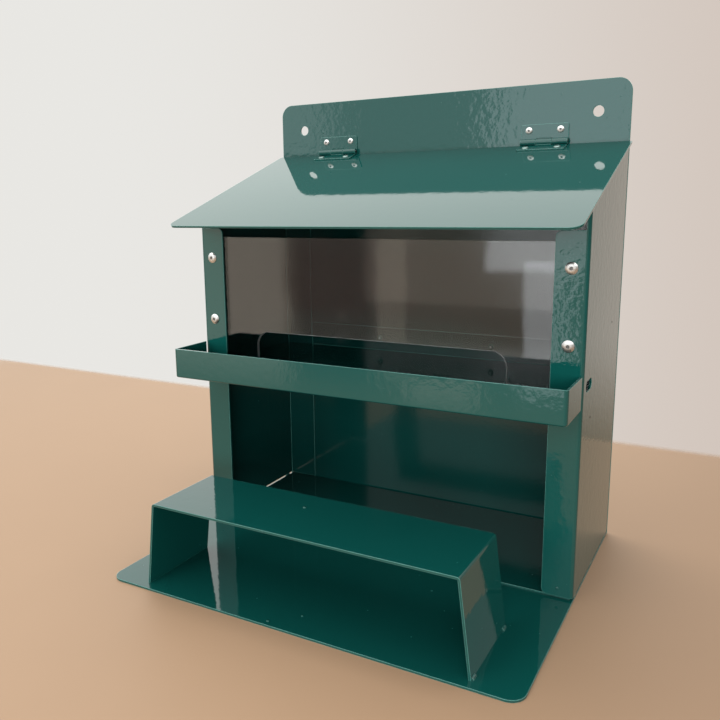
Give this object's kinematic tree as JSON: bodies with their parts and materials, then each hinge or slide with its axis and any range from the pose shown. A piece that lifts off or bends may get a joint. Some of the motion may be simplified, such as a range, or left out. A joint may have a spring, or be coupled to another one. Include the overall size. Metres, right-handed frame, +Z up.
{
  "type": "wall-mounted bird feeder",
  "caption": "Folded sheet-metal bird feeder with a hinged sloping lid, clear window with a feed arch, projecting tray and a bench on the base plate.",
  "frame": {"origin": "underside of the base plate, midway between the side panels, in the plane of the posts' front faces", "axes": "+Z up, +Y to the rear, towards the wall, +X to the right seen from the front"},
  "size_m": [0.304, 0.2455, 0.35],
  "materials": {
    "green_paint": "gloss",
    "hinge_paint": "gloss",
    "painted_rivet": "gloss",
    "painted_weld": "gloss",
    "clear_window": "gloss",
    "rivet_aluminium": "satin",
    "rivet_steel": "satin",
    "hinge_pin": "satin"
  },
  "bodies": {
    "cabinet": {"base_plate": "green_paint", "floor_panel": "green_paint", "left_side_panel": "green_paint", "right_side_panel": "green_paint", "back_plate": "green_paint", "window_pane": "clear_window", "feed_tray": "green_paint", "bench_step": "green_paint", "left_hinge_wall_leaf": "hinge_paint", "right_hinge_wall_leaf": "hinge_paint", "left_hinge_pin": "hinge_pin", "right_hinge_pin": "hinge_pin", "window_rivets": "rivet_aluminium", "window_rivet_stems": "rivet_steel", "hinge_wall_rivets": "rivet_aluminium", "hinge_wall_rivet_stems": "rivet_steel", "tray_rivets": "painted_rivet", "tray_rivet_stems": "rivet_steel", "bench_weld_tacks": "painted_weld", "body_weld_tacks": "painted_weld", "tray_weld_tacks": "painted_weld"},
    "lid": {"roof_lid": "green_paint", "left_hinge_lid_leaf": "hinge_paint", "right_hinge_lid_leaf": "hinge_paint", "hinge_lid_rivets": "rivet_aluminium", "hinge_lid_rivet_stems": "rivet_steel"}
  },
  "joints": [
    {"name": "lid_hinge", "type": "hinge", "parent": "cabinet", "child": "lid", "pos_m": [0, 0.1203, 0.30741], "axis": [-1, 0, 0], "range_deg": [0, 105]}
  ]
}
